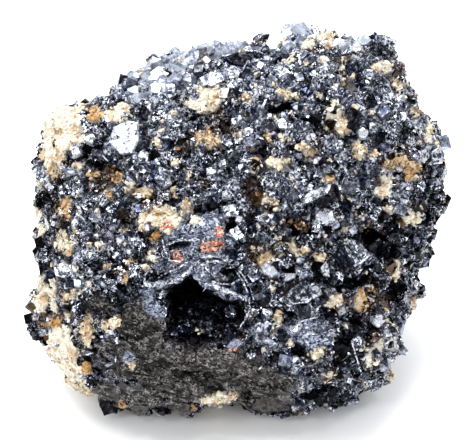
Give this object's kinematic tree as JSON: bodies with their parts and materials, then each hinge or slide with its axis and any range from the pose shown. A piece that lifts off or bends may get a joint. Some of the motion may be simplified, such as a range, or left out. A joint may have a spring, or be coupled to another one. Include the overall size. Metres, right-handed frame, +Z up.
{
  "type": "perovskite specimen",
  "caption": "Lump of intergrown dark perovskite crystals in pale calcite, with a rough front that leans back, a deep cavity in it and a flat broken base.",
  "frame": {"origin": "middle of the bounding box's footprint, on the flat broken base", "axes": "+Z up from the base; the broad rough front with the cavity faces -Y and leans back; +X to the right of someone who faces that front, along the longest extent"},
  "size_m": [0.069, 0.056, 0.0561],
  "materials": {
    "perovskite": "black to blue-grey crystal faces with a bright, nearly metallic gloss, and matt dark grey where it is massive",
    "calcite": "matt crumbly cream to ochre filling between the crystals",
    "iron_stain": "dull orange-red rust crumbs"
  },
  "bodies": {
    "root": {"perovskite_specimen": "perovskite"}
  },
  "joints": []
}
